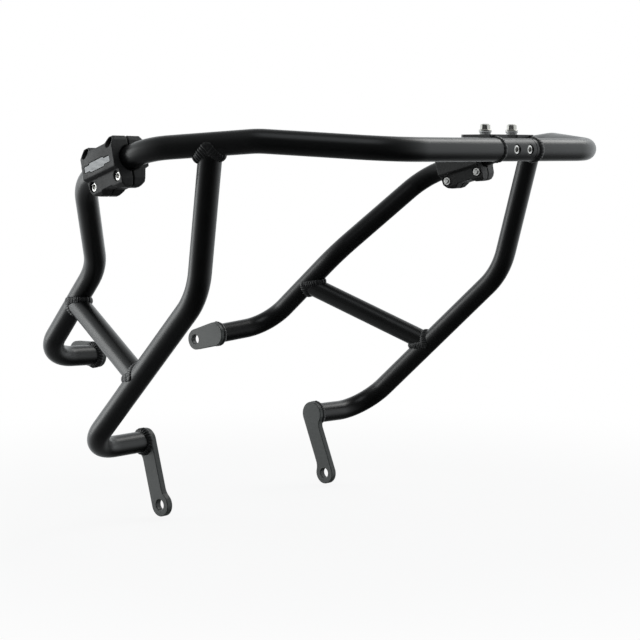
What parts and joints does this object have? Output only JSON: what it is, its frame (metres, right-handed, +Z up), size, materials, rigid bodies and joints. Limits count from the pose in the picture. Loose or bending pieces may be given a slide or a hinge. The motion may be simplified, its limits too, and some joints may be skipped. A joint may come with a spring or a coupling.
{
  "type": "motorcycle crash bars",
  "caption": "Black welded tube crash bars that wrap the front and sides of a motorcycle, with a bolted front coupling, clamp-on plastic pads and drilled mounting tabs.",
  "frame": {"origin": "middle of the bounding box; Y = 0 is the mid-plane of the motorcycle", "axes": "+X forward, +Y to the rider's left, +Z up, as fitted on the motorcycle"},
  "size_m": [0.618, 0.6542, 0.4624],
  "materials": {
    "tube_coat": "satin black powder coat",
    "plate_coat": "satin black powder coat on flat plate",
    "weld_coat": "powder coat over rippled weld beads",
    "pad": "fine grained matt black",
    "badge": "blank satin plate",
    "fastener": "bright stainless",
    "collar": "bright zinc"
  },
  "bodies": {
    "root": {"main_tube_right": "tube_coat", "main_tube_left": "tube_coat", "leg_tube_right": "tube_coat", "leg_tube_left": "tube_coat", "brace_tube_right": "tube_coat", "brace_tube_left": "tube_coat", "rear_tab_right": "plate_coat", "rear_tab_left": "plate_coat", "lower_tab_right": "plate_coat", "lower_tab_left": "plate_coat", "coupling_right": "tube_coat", "coupling_left": "tube_coat", "coupling_screws": "fastener", "pad_outer_right": "pad", "pad_outer_left": "pad", "pad_inner_right": "pad", "pad_inner_left": "pad", "badge_right": "badge", "badge_left": "badge", "pad_bolts_right": "fastener", "pad_bolts_left": "fastener", "pad_nuts_right": "fastener", "pad_nuts_left": "fastener", "front_lug_right": "tube_coat", "front_lug_left": "tube_coat", "lug_bolts": "fastener", "lug_collars": "collar", "lug_nuts": "fastener", "weld_leg_right": "weld_coat", "weld_leg_left": "weld_coat", "weld_brace_rear_right": "weld_coat", "weld_brace_rear_left": "weld_coat", "weld_brace_leg_right": "weld_coat", "weld_brace_leg_left": "weld_coat", "weld_lower_tab_right": "weld_coat", "weld_lower_tab_left": "weld_coat", "weld_rear_tab_right": "weld_coat", "weld_rear_tab_left": "weld_coat", "weld_coupling_right": "weld_coat", "weld_coupling_left": "weld_coat", "weld_lug_right": "weld_coat", "weld_lug_left": "weld_coat"}
  },
  "joints": []
}
